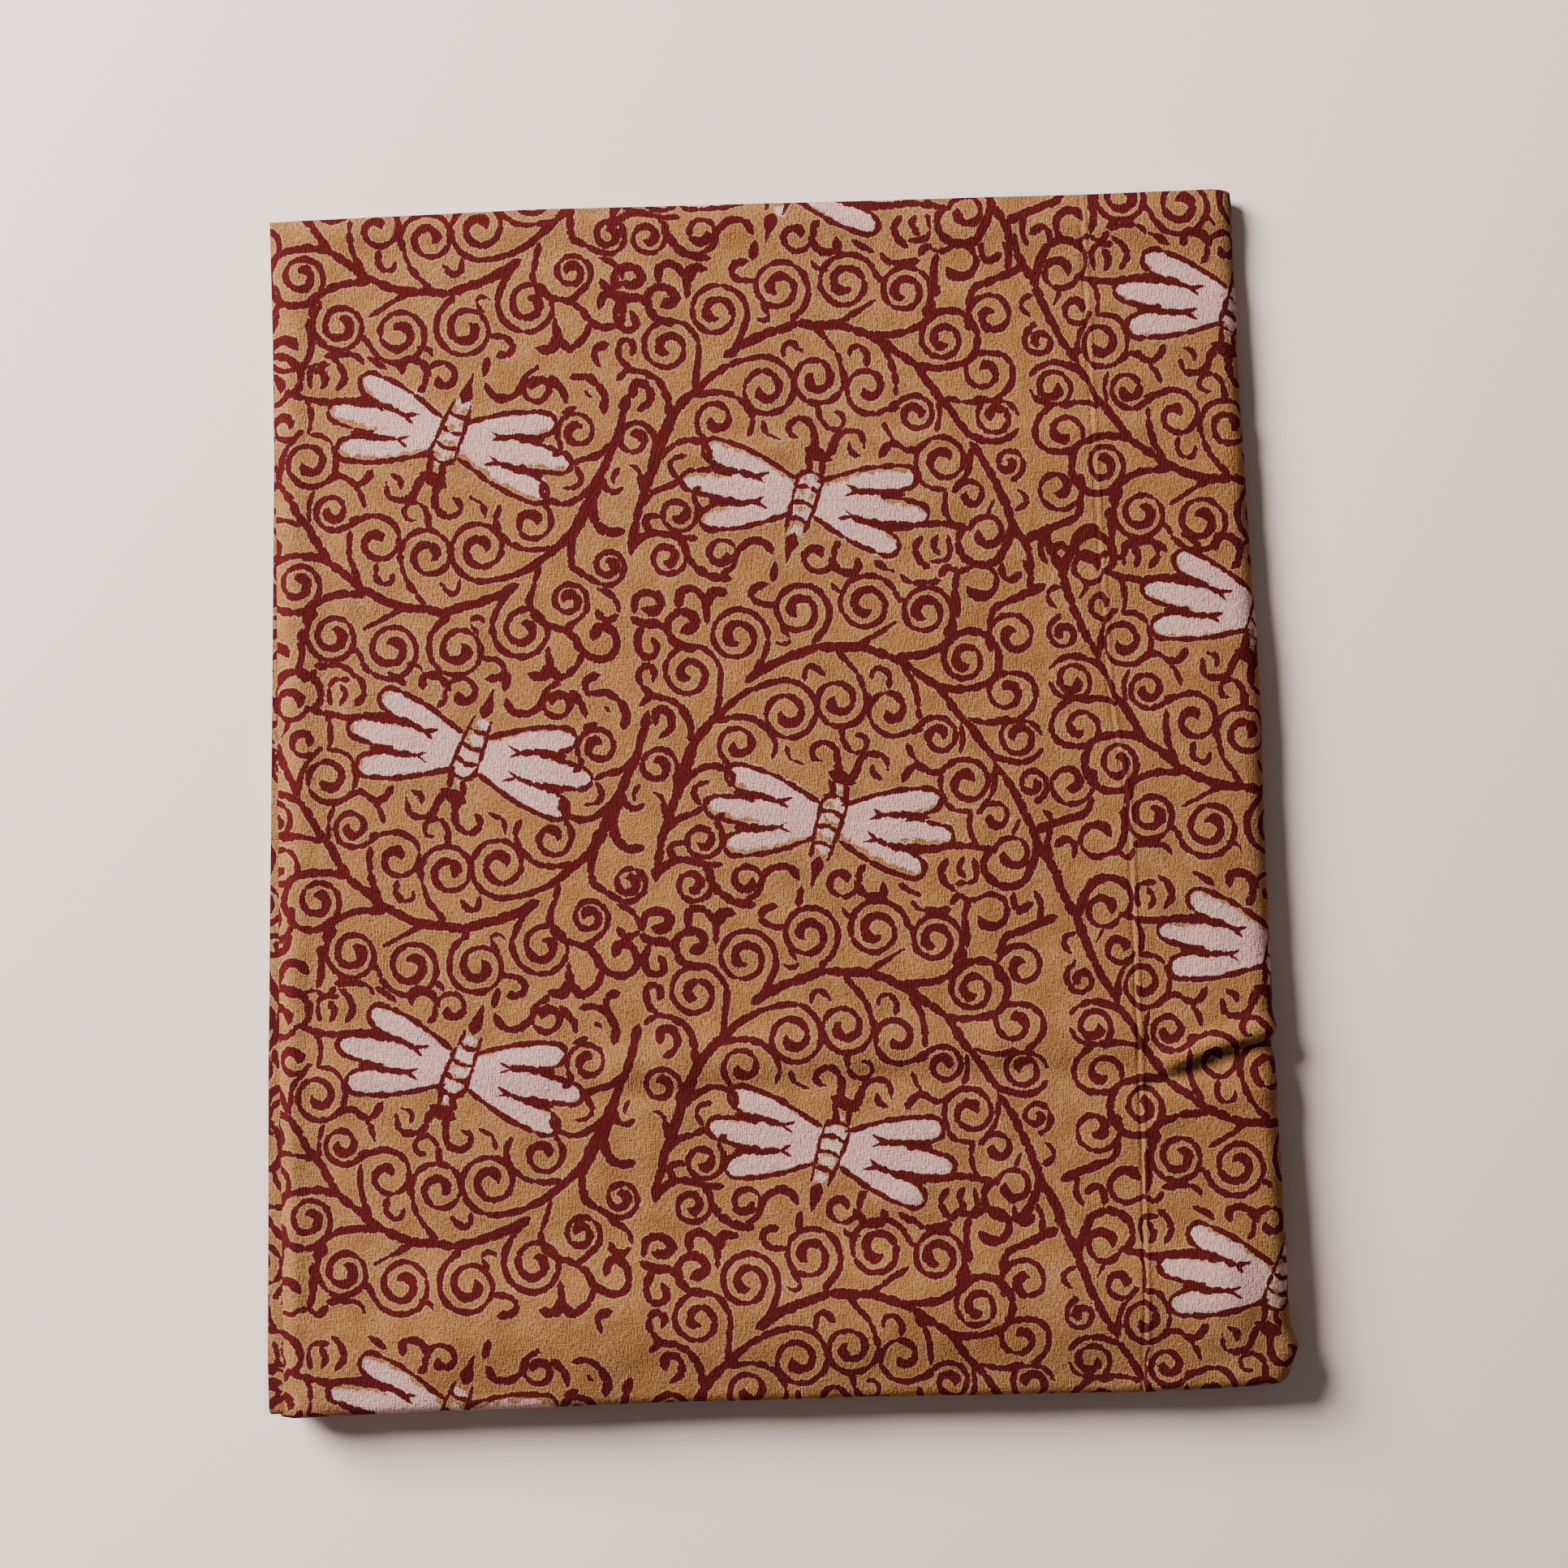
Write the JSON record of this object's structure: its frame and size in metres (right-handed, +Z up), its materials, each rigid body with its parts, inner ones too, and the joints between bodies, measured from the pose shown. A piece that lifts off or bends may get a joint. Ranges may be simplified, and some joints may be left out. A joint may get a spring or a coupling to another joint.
{
  "type": "folded block-printed cotton fabric",
  "caption": "Cut length of hand block-printed cotton, folded into a flat packet with soft creases, lying on a flat surface.",
  "frame": {"origin": "under the middle of the folded packet's box, on the surface that it lies on", "axes": "+X across the packet towards its folded side, +Y along it towards its cut end, +Z up"},
  "size_m": [0.2802, 0.3274, 0.0138],
  "materials": {
    "printed_cotton": "matte plain weave, block printed in maroon on mustard"
  },
  "bodies": {
    "root": {"folded_cloth": "printed_cotton"}
  },
  "joints": []
}
